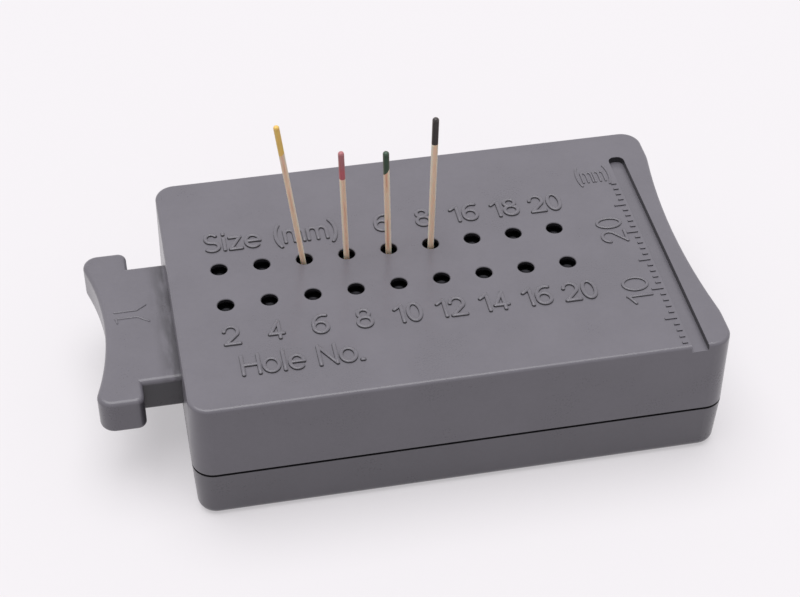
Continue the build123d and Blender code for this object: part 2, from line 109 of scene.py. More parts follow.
class GaugeLettering(bpy.types.PropertyGroup):
    """The raised strokes of numbers and words."""

    stroke_width: FloatProperty(
        name="Stroke width", description="Width of a raised stroke at its foot",
        unit="LENGTH", default=0.46 * MM,
    )
    stroke_top: FloatProperty(
        name="Stroke top", description="Width of the flat top of a raised stroke",
        unit="LENGTH", default=0.38 * MM,
    )
    stroke_height: FloatProperty(
        name="Stroke height", description="How far a stroke stands above the face",
        unit="LENGTH", default=0.20 * MM,
    )
    cap_height: FloatProperty(
        name="Capital height", description="Height of the hole numbers",
        unit="LENGTH", default=2.76 * MM,
    )
    mark_share: FloatProperty(
        name="Handle mark", description="Size of the handle mark's strokes beside full ones",
        subtype="FACTOR", min=0.1, max=1, default=0.5,
    )


class GaugePoints(bpy.types.PropertyGroup):
    """The four tapered points that stand in the rear row."""

    shaft_colour: FloatVectorProperty(
        name="Shaft colour", description="Pinkish tan of the bare shafts",
        subtype="COLOR", min=0, max=1, default=(1.0, 0.71, 0.52),
    )
    # Painted light: the shafts turn paler towards their sides
    shaft_light: FloatVectorProperty(
        name="Shaft light streak", description="Pale cream streaks along the shafts' sides",
        subtype="COLOR", min=0, max=1, default=(1.0, 0.86, 0.69),
    )
    shaft_core: FloatVectorProperty(
        name="Shaft core streak", description="Reddish brown marks down the middle of the shafts",
        subtype="COLOR", min=0, max=1, default=(0.78, 0.42, 0.27),
    )
    yellow: FloatVectorProperty(
        name="Yellow dip", description="Paint on the first point's head",
        subtype="COLOR", min=0, max=1, default=(1.0, 0.63, 0.16),
    )
    red: FloatVectorProperty(
        name="Red dip", description="Paint on the second point's head",
        subtype="COLOR", min=0, max=1, default=(0.58, 0.13, 0.16),
    )
    green: FloatVectorProperty(
        name="Green dip", description="Paint on the third point's head",
        subtype="COLOR", min=0, max=1, default=(0.024, 0.078, 0.044),
    )
    black: FloatVectorProperty(
        name="Black dip", description="Paint on the fourth point's head",
        subtype="COLOR", min=0, max=1, default=(0.018, 0.016, 0.019),
    )


class GaugeInside(bpy.types.PropertyGroup):
    """The steel pieces and the dark mouldings inside the casing."""

    blade_colour: FloatVectorProperty(
        name="Blade", description="Ground steel of the blade plate",
        subtype="COLOR", min=0, max=1, default=(0.30, 0.30, 0.31),
    )
    # Painted shade: the gauge plate is kept near black so that the holes look dark
    plate_colour: FloatVectorProperty(
        name="Gauge plate", description="Stained steel of the gauge plate, seen through the holes",
        subtype="COLOR", min=0, max=1, default=(0.04, 0.04, 0.045),
    )
    screw_colour: FloatVectorProperty(
        name="Screws and pins", description="Turned steel of the screws and the spring pins",
        subtype="COLOR", min=0, max=1, default=(0.50, 0.50, 0.51),
    )
    wire_colour: FloatVectorProperty(
        name="Spring wire", description="Drawn steel of the return springs",
        subtype="COLOR", min=0, max=1, default=(0.45, 0.45, 0.46),
    )
    carriage_colour: FloatVectorProperty(
        name="Carriage", description="Dark plastic of the carriage and its guide rails",
        subtype="COLOR", min=0, max=1, default=(0.10, 0.10, 0.11),
    )


class GaugeStudio(bpy.types.PropertyGroup):
    """The floor, the light and the camera."""

    floor_colour: FloatVectorProperty(
        name="Floor colour", description="Plain pale floor",
        subtype="COLOR", min=0, max=1, default=(0.79, 0.767, 0.79),
    )
    floor_glow: FloatProperty(
        name="Floor glow", description="Share of plain white in the floor as it is seen",
        subtype="FACTOR", min=0, max=1, default=0.42,
    )
    glow_colour: FloatVectorProperty(
        name="Glow colour", description="The white that the floor is seen with",
        subtype="COLOR", min=0, max=1, default=(1, 0.972, 1),
    )
    backdrop_colour: FloatVectorProperty(
        name="Backdrop colour", description="The plain background past the floor's edge",
        subtype="COLOR", min=0, max=1, default=(0.94, 0.914, 0.94),
    )
    fill_colour: FloatVectorProperty(
        name="Fill colour", description="Colour of the even light from all round",
        subtype="COLOR", min=0, max=1, default=(1, 0.985, 1),
    )
    fill_strength: FloatProperty(
        name="Fill light", description="Strength of the even light from all round",
        min=0, default=0.42,
    )
    key_strength: FloatProperty(
        name="Key light", description="Strength of the soft light from above",
        min=0, default=2.25,
    )
    key_spread: FloatProperty(
        name="Key spread", description="How wide the soft light looks from the part",
        subtype="ANGLE", default=radians(56),
    )
    key_tilt_x: FloatProperty(
        name="Key tilt about X", description="Lean of the soft light about the X axis",
        subtype="ANGLE", default=radians(-5),
    )
    key_tilt_y: FloatProperty(
        name="Key tilt about Y", description="Lean of the soft light about the Y axis",
        subtype="ANGLE", default=radians(-4),
    )
    lens: FloatProperty(
        name="Lens", description="Focal length on a 36 mm wide sensor",
        min=1, default=82.92,
    )
    camera_place: FloatVectorProperty(
        name="Camera place", description="Where the camera stands",
        subtype="TRANSLATION", unit="LENGTH", default=(-35.18 * MM, -154.48 * MM, 155.13 * MM),
    )
    camera_heading: FloatProperty(
        name="Heading", description="Turn of the view to the right of +Y",
        subtype="ANGLE", default=radians(11.05),
    )
    camera_drop: FloatProperty(
        name="Drop", description="Angle of the view below the horizon",
        subtype="ANGLE", default=radians(42.48),
    )
    camera_roll: FloatProperty(
        name="Roll", description="Small turn of the picture",
        subtype="ANGLE", default=radians(0.227),
    )
    camera_shift_x: FloatProperty(
        name="Shift X", description="How far the frame moves right, in picture widths",
        default=0.0149,
    )
    camera_shift_y: FloatProperty(
        name="Shift Y", description="How far the frame moves up, in picture widths",
        default=0.0040,
    )


SETTINGS = {
    "gauge_shell": GaugeShell,
    "gauge_lettering": GaugeLettering,
    "gauge_points": GaugePoints,
    "gauge_inside": GaugeInside,
    "gauge_studio": GaugeStudio,
}


class Signal:
    """A node's output in a material. Arithmetic on it adds Math nodes."""

    def __init__(self, finish, socket):
        self.finish = finish
        self.socket = socket

    def of(self, name):
        """Another output of the same node."""
        return Signal(self.finish, self.socket.node.outputs[name])

    def swing(self, amount):
        """A change either side of 0, up to half the amount, from noise about 0.5."""
        return amount * (self - 0.5)

    def maths(self, operation, first, second):
        """A Math node on two outputs or numbers."""
        return self.finish.add("ShaderNodeMath", {"operation": operation}, {0: first, 1: second})

    def __abs__(self):
        return self.finish.add("ShaderNodeMath", {"operation": "ABSOLUTE"}, {0: self})

    def __add__(self, other):
        return self.maths("ADD", self, other)

    def __radd__(self, other):
        return self.maths("ADD", other, self)

    def __sub__(self, other):
        return self.maths("SUBTRACT", self, other)

    def __rsub__(self, other):
        return self.maths("SUBTRACT", other, self)

    def __mul__(self, other):
        return self.maths("MULTIPLY", self, other)

    def __rmul__(self, other):
        return self.maths("MULTIPLY", other, self)

    def __truediv__(self, other):
        return self.maths("DIVIDE", self, other)


class Finish:
    """A node tree that is built by one method, for a material or for the world."""

    def __init__(self, owner):
        owner.use_nodes = True
        self.owner = owner
        self.tree = owner.node_tree
        self.tree.nodes.clear()

    def add(self, kind, settings=None, sockets=None, output=0):
        """A node of one type with its settings, then its sockets' values or links."""
        node = self.tree.nodes.new(kind)
        for name, value in (settings or {}).items():
            setattr(node, name, value)
        for name, value in (sockets or {}).items():
            if isinstance(value, Signal):
                self.tree.links.new(value.socket, node.inputs[name])
            else:
                node.inputs[name].default_value = value
        return Signal(self, node.outputs[output]) if node.outputs else None

    def place(self, stretch=(1, 1, 1)):
        """Object coordinates, stretched along the axes where a pattern is."""
        place = self.add("ShaderNodeTexCoord", output="Object")
        if stretch == (1, 1, 1):
            return place
        return self.add("ShaderNodeMapping", {}, {"Vector": place, "Scale": stretch})

    def spot(self):
        """A node whose outputs X, Y and Z are Object coordinates."""
        return self.add("ShaderNodeSeparateXYZ", {}, {"Vector": self.place()})

    def noise(self, size, detail=2.0, stretch=(1, 1, 1)):
        """Smooth noise about 0.5 whose marks are about so many metres wide."""
        return self.add(
            "ShaderNodeTexNoise", {},
            {"Vector": self.place(stretch), "Scale": 1 / size, "Detail": detail},
        )

    def past(self, signal, edge):
        """0 before a soft edge and 1 past it."""
        low, high = edge
        return self.add(
            "ShaderNodeMapRange", {"interpolation_type": "SMOOTHSTEP"},
            {"Value": signal, "From Min": low, "From Max": high},
        )

    def within(self, signal, rise, fall):
        """1 between two soft edges and 0 outside them."""
        return self.past(signal, rise) * (1 - self.past(signal, fall))

    def mix(self, share, first, second):
        """One colour turning into another."""
        first = first if isinstance(first, Signal) else (*first, 1)
        second = second if isinstance(second, Signal) else (*second, 1)
        return self.add(
            "ShaderNodeMix", {"data_type": "RGBA"},
            {0: share, 6: first, 7: second}, output=2,
        )

    def bump(self, height, depth, under=None):
        """Relief of so many metres from a height that runs from 0 to 1."""
        sockets = {"Height": height, "Distance": depth, "Strength": 1.0}
        if under is not None:
            sockets["Normal"] = under
        return self.add("ShaderNodeBump", {}, sockets)

    def seen(self):
        """1 for what the camera sees, also in metal and through glass."""
        ray = self.add("ShaderNodeLightPath", output="Is Camera Ray")
        return ray + ray.of("Is Glossy Ray") + ray.of("Is Transmission Ray")

    def surface(self, **sockets):
        """The shader and the output, with underscores for the spaces in socket names."""
        named = {name.replace("_", " "): value for name, value in sockets.items()}
        shader = self.add("ShaderNodeBsdfPrincipled", {}, named)
        self.add("ShaderNodeOutputMaterial", {}, {"Surface": shader})
        return self.owner


def tinted(colour, share):
    """A colour made lighter or darker by a share."""
    return tuple(min(1.0, channel * (1 + share)) for channel in colour)


# The moulded pieces' patterns: how wide their marks are, and each one's share in the clouding
CLOUD_SIZE = 7 * MM
SPECK_SIZE = 0.6 * MM
CLOUD_SHARE, GRAIN_SHARE, SPECK_SHARE = 0.65, 0.12, 0.23
CLOUD_EDGE = (0.3, 0.7)
CLOUD_TINT = 0.05
CLOUD_ROUGHNESS, GRAIN_ROUGHNESS = 0.12, 0.1
WAVE_SIZE, WAVE_DEPTH = 4 * MM, 0.012 * MM
# How much darker the painted shade is
SHADE_TINT = -0.85


def moulded_finish(name, shell, colour, painted_shade=None, tint=SHADE_TINT):
    """Satin moulded plastic with a fine grain, faint clouding and darker places of painted shade
    and smears.
    """
    finish = Finish(bpy.data.materials.new(name))
    grain = finish.noise(shell.grain_size, detail=3.0)
    cloud = finish.noise(CLOUD_SIZE, detail=3.0)
    speck = finish.noise(SPECK_SIZE, detail=2.0)
    clouding = CLOUD_SHARE * cloud + GRAIN_SHARE * grain + SPECK_SHARE * speck
    darker, lighter = tinted(colour, -CLOUD_TINT), tinted(colour, CLOUD_TINT)
    paint = finish.mix(finish.past(clouding, CLOUD_EDGE), darker, lighter)
    # Darker places: painted shade, and on the handle also smears
    if painted_shade is not None:
        paint = finish.mix(painted_shade(finish), paint, tinted(colour, tint))
    rough = shell.roughness + cloud.swing(CLOUD_ROUGHNESS) + grain.swing(GRAIN_ROUGHNESS)
    wave = finish.bump(finish.noise(WAVE_SIZE, detail=1.0), WAVE_DEPTH)
    relief = finish.bump(grain, shell.grain_depth, wave)
    return finish.surface(
        Base_Color=paint, Roughness=rough, Normal=relief,
        IOR=1.5, Specular_IOR_Level=0.35, Coat_Weight=0.25, Coat_Roughness=0.18,
    )


def housing_dark_places(finish):
    """Painted shade in the holes, on the groove's walls and on the sides of the ruler's marks."""
    spot = finish.spot()
    x, y, z = spot.of("X"), spot.of("Y"), spot.of("Z")
    under = 1 - finish.past(z, UNDER_TOP_FACE)
    holes = 1 - finish.past(abs(y), HOLES_SIDE)
    holes = holes * finish.within(x, HOLES_LEFT, HOLES_RIGHT)
    groove = finish.within(x, GROOVE_LEFT, GROOVE_RIGHT) * (1 - finish.past(y, GROOVE_END))
    groove = groove * finish.past(z, GROOVE_FLOOR)
    # Painted shade: 1 in the holes and the groove below the top face, and on the ticks' sides
    return under * (holes + groove) + finish.within(z, TICK_FOOT, TICK_TOP)


def base_dark_rim(finish):
    """Painted shade on the base shell's upper rim, which shows as the parting line."""
    return finish.past(finish.spot().of("Z"), PARTING_RIM)


# The dark smears on the handle's neck
SMEAR_SIZE, SMEAR_STRETCH = 0.9 * MM, (1, 0.2, 1)
SMEAR_STRENGTH = 0.77
SMEAR_EDGE = (0.32, 0.62)


def handle_dark_places(finish):
    """Smears on the neck's end; painted shade on the neck and ears' inner sides below the top."""
    spot = finish.spot()
    x, z = spot.of("X"), spot.of("Z")
    streaks = finish.noise(SMEAR_SIZE, detail=4.0, stretch=SMEAR_STRETCH)
    smears = SMEAR_STRENGTH * finish.past(x, NECK_END) * finish.past(streaks, SMEAR_EDGE)
    # Painted shade on the ears' inner sides and the neck, below the handle's top edge
    return smears + finish.past(x, EAR_INNER_SIDE) * (1 - finish.past(z, HANDLE_TOP_EDGE))


# How far below a raised stroke's top the painted shade on its sides starts and ends
SIDE_START, SIDE_END = 0.06 * MM, 0.02 * MM


def stroke_sides(top):
    """A maker of masks of painted shade: 1 on the sides of raised strokes and 0 on their tops."""
    edge = (top - SIDE_START, top - SIDE_END)
    return lambda finish: 1 - finish.past(finish.spot().of("Z"), edge)


# The steel pieces' patterns
SCRATCH_SIZE, SCRATCH_DEPTH = 0.06 * MM, 0.002 * MM
SCRATCH_STRETCH = 0.06
STAIN_SIZE = 2.5 * MM
STAIN_TINTS = (-0.18, 0.08)
SCRATCH_ROUGHNESS, STAIN_ROUGHNESS = 0.18, 0.1


def steel_finish(name, colour, roughness, along):
    """Ground steel whose fine scratches run along one axis."""
    finish = Finish(bpy.data.materials.new(name))
    stretch = tuple(SCRATCH_STRETCH if axis == along else 1.0 for axis in "xyz")
    scratch = finish.noise(SCRATCH_SIZE, detail=4.0, stretch=stretch)
    stain = finish.noise(STAIN_SIZE, detail=3.0)
    paint = finish.mix(stain, *(tinted(colour, tint) for tint in STAIN_TINTS))
    rough = roughness + scratch.swing(SCRATCH_ROUGHNESS) + stain.swing(STAIN_ROUGHNESS)
    relief = finish.bump(scratch, SCRATCH_DEPTH)
    return finish.surface(Base_Color=paint, Metallic=1.0, Roughness=rough, Normal=relief)


class Dip(NamedTuple):
    """How one point stands and how its head was dipped."""

    lean: float    # degrees from upright, towards +X
    end: float     # height of the paint's lower edge
    slant: float   # how much that edge rises across the shaft
    core: float    # place of the brown streak across the shaft, from -1 to 1
    stain: float   # strength of that streak
    fade: float    # strength of the paler, worn paint near the tip


DIPS = {
    "yellow": Dip(lean=-7.0, end=31.92 * MM, slant=0.6, core=-0.1, stain=0.5, fade=0),
    "red": Dip(lean=-1.65, end=27.56 * MM, slant=0.0, core=0.1, stain=0.7, fade=0.8),
    "green": Dip(lean=-1.35, end=27.86 * MM, slant=1.2, core=-0.3, stain=0.9, fade=0),
    "black": Dip(lean=0.75, end=30.92 * MM, slant=0.0, core=0.0, stain=0.3, fade=0),
}
FIRST_POINT_HOLE = 2

# The points' patterns, stretched along the shafts, and the soft edges between their colours
STREAK_SIZE, STREAK_STRETCH, STREAK_DEPTH = 0.16 * MM, (1, 1, 0.04), 0.008 * MM
MOTTLE_SIZE, MOTTLE_STRETCH = 1.1 * MM, (1, 1, 0.3)
BLOTCH_SIZE, BLOTCH_TINT = 0.8 * MM, 0.12
WOBBLE_SIZE, WOBBLE = 0.4 * MM, 0.1 * MM
# Where the shafts' sides turn pale with painted light
LIT_SIDE, LIT_SIDE_WOBBLE = (0.45, 0.95), 0.9
CORE_SIDE, CORE_WOBBLE = (0.12, 0.42), 0.5
CORE_MOTTLE = (0.46, 0.62)
PAINT_EDGE = 0.03 * MM
FADE_START, FADE_END, FADE_WOBBLE = 1.0 * MM, 2.4 * MM, 0.8 * MM
WORN_SHARE, WORN_WHITE = 0.6, 0.12
BARE_ROUGHNESS, PAINT_GLOSS, STREAK_ROUGHNESS = 0.50, 0.16, 0.12


def dipped_finish(name, points, paint_colour, foot_x, dip):
    """A tan point with lengthwise streaks and painted light on its sides, dipped in paint to a
    height.
    """
    finish = Finish(bpy.data.materials.new(name))
    streak = finish.noise(STREAK_SIZE, detail=3.0, stretch=STREAK_STRETCH)
    mottle = finish.noise(MOTTLE_SIZE, detail=3.0, stretch=MOTTLE_STRETCH)
    spot = finish.spot()
    height = spot.of("Z")
    axis_x = foot_x + tan(radians(dip.lean)) * (height - PLATE_MIDDLE)
    across = (spot.of("X") - axis_x) / POINT_RADIUS

    side = abs(across - dip.core)
    # Painted light: paler towards the shaft's sides
    pale = finish.past(side + streak.swing(LIT_SIDE_WOBBLE), LIT_SIDE)
    bare = finish.mix(pale, points.shaft_colour, points.shaft_light)
    core = 1 - finish.past(side + streak.swing(CORE_WOBBLE), CORE_SIDE)
    core = core * finish.past(mottle, CORE_MOTTLE)
    bare = finish.mix(dip.stain * core, bare, points.shaft_core)

    blotch = finish.noise(BLOTCH_SIZE, detail=3.0)
    darker, lighter = tinted(paint_colour, -BLOTCH_TINT), tinted(paint_colour, BLOTCH_TINT)
    coat = finish.mix(blotch, darker, lighter)
    worn = tuple(WORN_SHARE * channel + WORN_WHITE for channel in paint_colour)
    fade_edge = (dip.end + FADE_START, dip.end + FADE_END)
    faded = finish.past(height + mottle.swing(FADE_WOBBLE), fade_edge)
    coat = finish.mix(dip.fade * faded, coat, worn)

    level = height - dip.slant * POINT_RADIUS * across + finish.noise(WOBBLE_SIZE).swing(WOBBLE)
    painted = finish.past(level, (dip.end - PAINT_EDGE, dip.end + PAINT_EDGE))
    rough = BARE_ROUGHNESS - PAINT_GLOSS * painted + streak.swing(STREAK_ROUGHNESS)
    return finish.surface(
        Base_Color=finish.mix(painted, bare, coat), Roughness=rough,
        Normal=finish.bump(streak, STREAK_DEPTH),
        Subsurface_Weight=0.4, Subsurface_Radius=(1.0, 0.6, 0.45), Subsurface_Scale=0.35 * MM,
        Sheen_Weight=0.25, Sheen_Roughness=0.6, Sheen_Tint=(1.0, 0.80, 0.64, 1.0),
    )


def dress(node, material):
    """Give a CAD node its finish."""
    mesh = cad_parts[node].data
    mesh.materials.clear()
    mesh.materials.append(material)


def keep(piece, body, material):
    """A finished new piece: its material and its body."""
    piece.data.materials.clear()
    piece.data.materials.append(material)
    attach(piece, body)


# The degrees between two points of an arc
ARC_STEP = 15


def arc(x, y, across, up, start, end):
    """Points along part of an ellipse, with its angles in degrees."""
    steps = round(abs(end - start) / ARC_STEP)
    angles = [radians(start + (end - start) * i / steps) for i in range(steps + 1)]
    return [(x + across * cos(a), y + up * sin(a)) for a in angles]


# Each glyph is its width and its strokes, in shares of the capital height
GLYPHS = {
    " ": (0.30, []),
    "0": (0.56, [arc(0.28, 0.50, 0.28, 0.50, 0, 360)]),
    "1": (0.36, [[(0.32, 0.00), (0.32, 1.00)], [(0.32, 0.97), (0.00, 0.76)]]),
    "2": (0.64, [
        arc(0.31, 0.69, 0.30, 0.31, 175, -35) + [(0.03, 0.02)],
        [(0.00, 0.00), (0.64, 0.00)],
    ]),
    "4": (0.62, [
        [(0.44, 0.97), (0.02, 0.26)],
        [(0.00, 0.26), (0.62, 0.26)],
        [(0.44, 1.00), (0.44, 0.00)],
    ]),
    "6": (0.62, [arc(0.31, 0.31, 0.31, 0.31, 0, 360), arc(0.46, 0.46, 0.46, 0.54, 185, 70)]),
    "8": (0.62, [arc(0.31, 0.28, 0.31, 0.28, 0, 360), arc(0.31, 0.77, 0.25, 0.23, 0, 360)]),
    "S": (0.66, [
        arc(0.33, 0.745, 0.27, 0.255, 35, 270) + arc(0.33, 0.245, 0.32, 0.245, 80, -145),
    ]),
    "H": (0.76, [
        [(0.00, 0.00), (0.00, 1.00)],
        [(0.00, 0.50), (0.76, 0.50)],
        [(0.76, 0.00), (0.76, 1.00)],
    ]),
    "N": (0.76, [
        [(0.00, 0.00), (0.00, 1.00)],
        [(0.02, 0.97), (0.74, 0.03)],
        [(0.76, 0.00), (0.76, 1.00)],
    ]),
    "i": (0.06, [[(0.03, 0.00), (0.03, 0.70)], [(0.03, 0.92), (0.03, 1.02)]]),
    "l": (0.06, [[(0.03, 0.00), (0.03, 1.04)]]),
    "z": (0.54, [
        [(0.02, 0.69), (0.52, 0.69)],
        [(0.50, 0.67), (0.03, 0.03)],
        [(0.00, 0.00), (0.54, 0.00)],
    ]),
    "e": (0.66, [[(0.02, 0.36), (0.65, 0.36)], arc(0.33, 0.34, 0.33, 0.35, 0, 315)]),
    "o": (0.70, [arc(0.35, 0.35, 0.35, 0.35, 0, 360)]),
    "m": (0.88, [
        [(0.00, 0.00), (0.00, 0.70)],
        arc(0.22, 0.46, 0.22, 0.24, 180, 0) + [(0.44, 0.00)],
        arc(0.66, 0.46, 0.22, 0.24, 180, 0) + [(0.88, 0.00)],
    ]),
    ".": (0.08, [[(0.00, 0.02), (0.10, 0.02)]]),
    "(": (0.24, [arc(0.62, 0.42, 0.60, 0.86, 130, 230)]),
    ")": (0.24, [arc(-0.38, 0.42, 0.60, 0.86, 50, -50)]),
}
GLYPH_GAP = 0.22

# The hole numbers: which they are, the first hole that has one, and the Y of their foot line
FRONT_NUMBERS = (2, 4, 6, 8, 10, 12, 14, 16, 20)
FIRST_FRONT_HOLE = 0
FRONT_FOOT = -9.52 * MM
REAR_NUMBERS = (6, 8, 16, 18, 20)
FIRST_REAR_HOLE = 4
REAR_FOOT = 6.2 * MM
NUMBER_SQUEEZE = 0.91

# The words: the text, its left end, its foot line and its length
SIZE_HEADING = ("Size (mm)", -25.1 * MM, 6.14 * MM, 15.3 * MM)
HOLE_HEADING = ("Hole No.", -23.45 * MM, -14.52 * MM, 13.0 * MM)
RULER_UNIT = ("(mm)", 20.25 * MM, 10.4 * MM, 4.0 * MM)

# The words' capital heights: the headings' beside the hole numbers', and the unit's own
HEADING_SHARE = 1.06
RULER_UNIT_CAP = 2.6 * MM

# The ruler's numbers: how far each one's middle is from the ruler's zero, and their foot line
RULER_NUMBERS = {"10": 10.1 * MM, "20": 20.7 * MM}
RULER_NUMBER_FOOT_X = 23.1 * MM
RULER_NUMBER_CAP = 2.8 * MM
RULER_NUMBER_LENGTH = 4.2 * MM

# How large the finer strokes are beside full ones
FINE_SHARES = {"ruler_numbers": 0.8, "ruler_unit": 0.6}

# The handle's mark, a plain fork of lines
HANDLE_MARK = [
    [(-36.3 * MM, 2.05 * MM), (-33.8 * MM, 2.05 * MM), (-32.7 * MM, 2.8 * MM)],
    [(-36.3 * MM, 0.95 * MM), (-33.8 * MM, 0.95 * MM), (-32.5 * MM, 0.0)],
    [(-36.2 * MM, 0.95 * MM), (-36.1 * MM, 0.25 * MM)],
]


def text_width(text):
    """The length of a line of text, in shares of the capital height."""
    return sum(GLYPHS[letter][0] for letter in text) + GLYPH_GAP * (len(text) - 1)


def text_strokes(text, left, foot, length, cap):
    """The strokes of a line of text that starts at a place and is fitted to a length."""
    squeeze = length / (cap * text_width(text))
    strokes = []
    for letter in text:
        width, shape = GLYPHS[letter]
        for stroke in shape:
            strokes.append([(left + x * cap * squeeze, foot + y * cap) for x, y in stroke])
        left += (width + GLYPH_GAP) * cap * squeeze
    return strokes


def hole_numbers(numbers, first_hole, foot, cap):
    """The strokes of a row of slightly narrowed numbers, each centred on its hole."""
    strokes = []
    for hole, number in enumerate(numbers, start=first_hole):
        text = str(number)
        length = text_width(text) * cap * NUMBER_SQUEEZE
        middle = FIRST_HOLE_X + hole * HOLE_PITCH
        strokes += text_strokes(text, middle - length / 2, foot, length, cap)
    return strokes


def ruler_numbers():
    """The strokes of the ruler's numbers, turned a quarter so that they read towards +Y."""
    length = RULER_NUMBER_LENGTH
    strokes = []
    for text, middle in RULER_NUMBERS.items():
        for stroke in text_strokes(text, -length / 2, 0, length, RULER_NUMBER_CAP):
            place = HOUSING_LOW.y + middle
            strokes.append([(RULER_NUMBER_FOOT_X - up, place + along) for along, up in stroke])
    return strokes


def ridge_profile(lettering, share):
    """The cross-section of a raised stroke, alike above and below the face."""
    foot = lettering.stroke_width / 2 * share
    top = lettering.stroke_top / 2 * share
    high = lettering.stroke_height * share
    corners = [(foot, 0), (top, high), (-top, high), (-foot, 0), (-top, -high), (top, -high)]
    curve = bpy.data.curves.new("ridge_profile", "CURVE")
    spline = curve.splines.new("POLY")
    spline.points.add(len(corners) - 1)
    for point, (x, y) in zip(spline.points, corners):
        point.co = (x, y, 0, 1)
    spline.use_cyclic_u = True
    profile = bpy.data.objects.new("ridge_profile", curve)
    bpy.context.scene.collection.objects.link(profile)
    return profile


# The degrees at which a stroke's round end has its points, from the tip inwards
ROUND_ANGLES = (80, 55, 30)


def rounded_run(stroke, radius):
    """Places and widths along an open stroke, which narrows to a round end at each end."""
    first = Vector(stroke[0])
    last = Vector(stroke[-1])
    start = (first - Vector(stroke[1])).normalized() * radius
    end = (last - Vector(stroke[-2])).normalized() * radius
    run = [(first + start * sin(radians(a)), cos(radians(a))) for a in ROUND_ANGLES]
    run += [(Vector(place), 1.0) for place in stroke]
    run += [(last + end * sin(radians(a)), cos(radians(a))) for a in reversed(ROUND_ANGLES)]
    return run


# Strokes that cross lie at slightly different levels, so that their tops don't coincide
STROKE_LEVELS = 4
LEVEL_STEP = 0.002 * MM


def raised_strokes(name, strokes, face, lettering, share=1.0):
    """A mesh of ridges that follow the strokes on a level face, at a share of their full size."""
    curve = bpy.data.curves.new(name, "CURVE")
    curve.dimensions = "3D"
    curve.twist_mode = "Z_UP"
    for index, stroke in enumerate(strokes):
        level = face + index % STROKE_LEVELS * LEVEL_STEP
        ring = (Vector(stroke[0]) - Vector(stroke[-1])).length < lettering.stroke_top / 2
        if ring:
            run = [(place, 1.0) for place in stroke[:-1]]
        else:
            run = rounded_run(stroke, lettering.stroke_width / 2 * share)
        spline = curve.splines.new("POLY")
        spline.points.add(len(run) - 1)
        for point, ((x, y), width) in zip(spline.points, run):
            point.co = (x, y, level, 1)
            point.radius = width
        spline.use_cyclic_u = ring
    profile = ridge_profile(lettering, share)
    curve.bevel_mode = "OBJECT"
    curve.bevel_object = profile
    curve.use_fill_caps = True
    piece = bpy.data.objects.new(name, curve)
    bpy.context.scene.collection.objects.link(piece)
    bpy.ops.object.select_all(action="DESELECT")
    piece.select_set(True)
    bpy.context.view_layer.objects.active = piece
    bpy.ops.object.convert(target="MESH")
    bpy.data.objects.remove(profile)
    return piece


# How much darker than the housing the base shell is, and the handle's smears and painted shade
BASE_TINT = -0.2
HANDLE_SHADE_TINT = -0.65


class GAUGE_OT_shells(bpy.types.Operator):
    """Finish the two shells, with painted shade in the holes, the ruler's groove and the parting
    line
    """

    bl_idname = "gauge.shells"
    bl_label = "Finish the shells"

    def execute(self, context):
        shell = context.scene.gauge_shell
        upper = moulded_finish("upper_housing_grey", shell, shell.colour, housing_dark_places)
        dress("upper_housing", upper)
        colour = tinted(shell.colour, BASE_TINT)
        dress("base_shell", moulded_finish("base_shell_grey", shell, colour, base_dark_rim))
        return {"FINISHED"}


class GAUGE_OT_handle(bpy.types.Operator):
    """Finish the T-handle, with smears and painted shade on its neck and ears, and mark its top"""

    bl_idname = "gauge.handle"
    bl_label = "Finish the handle"

    def execute(self, context):
        shell = context.scene.gauge_shell
        lettering = context.scene.gauge_lettering
        grey = moulded_finish(
            "handle_grey", shell, shell.colour, handle_dark_places, HANDLE_SHADE_TINT,
        )
        dress("push_handle", grey)
        share = lettering.mark_share
        mark = raised_strokes("handle_mark", HANDLE_MARK, HANDLE_HIGH.z, lettering, share)
        keep(mark, SLIDE, moulded_finish("mark_grey", shell, shell.colour))
        return {"FINISHED"}


class GAUGE_OT_lettering(bpy.types.Operator):
    """Raise the hole numbers, the headings, and the ruler's numbers and unit on the top face"""

    bl_idname = "gauge.lettering"
    bl_label = "Raise the lettering"

    def execute(self, context):
        shell = context.scene.gauge_shell
        lettering = context.scene.gauge_lettering
        cap = lettering.cap_height
        heading_cap = HEADING_SHARE * cap
        words = {
            "front_numbers": hole_numbers(FRONT_NUMBERS, FIRST_FRONT_HOLE, FRONT_FOOT, cap),
            "rear_numbers": hole_numbers(REAR_NUMBERS, FIRST_REAR_HOLE, REAR_FOOT, cap),
            "size_heading": text_strokes(*SIZE_HEADING, heading_cap),
            "hole_heading": text_strokes(*HOLE_HEADING, heading_cap),
            "ruler_numbers": ruler_numbers(),
            "ruler_unit": text_strokes(*RULER_UNIT, RULER_UNIT_CAP),
        }
        for name, strokes in words.items():
            share = FINE_SHARES.get(name, 1.0)
            piece = raised_strokes(name, strokes, TOP_FACE, lettering, share)
            # Painted shade on the strokes' sides
            sides = stroke_sides(TOP_FACE + share * lettering.stroke_height)
            grey = moulded_finish(name + "_grey", shell, shell.colour, sides)
            keep(piece, CASING, grey)
        return {"FINISHED"}


class GAUGE_OT_points(bpy.types.Operator):
    """Finish the four tapered points with streaked tan shafts and dipped heads"""

    bl_idname = "gauge.points"
    bl_label = "Finish the points"

    def execute(self, context):
        points = context.scene.gauge_points
        for hole, (colour, dip) in enumerate(DIPS.items(), start=FIRST_POINT_HOLE):
            node = "point_" + colour
            foot_x = FIRST_HOLE_X + hole * HOLE_PITCH
            paint = getattr(points, colour)
            dress(node, dipped_finish(node + "_dipped", points, paint, foot_x, dip))
        return {"FINISHED"}


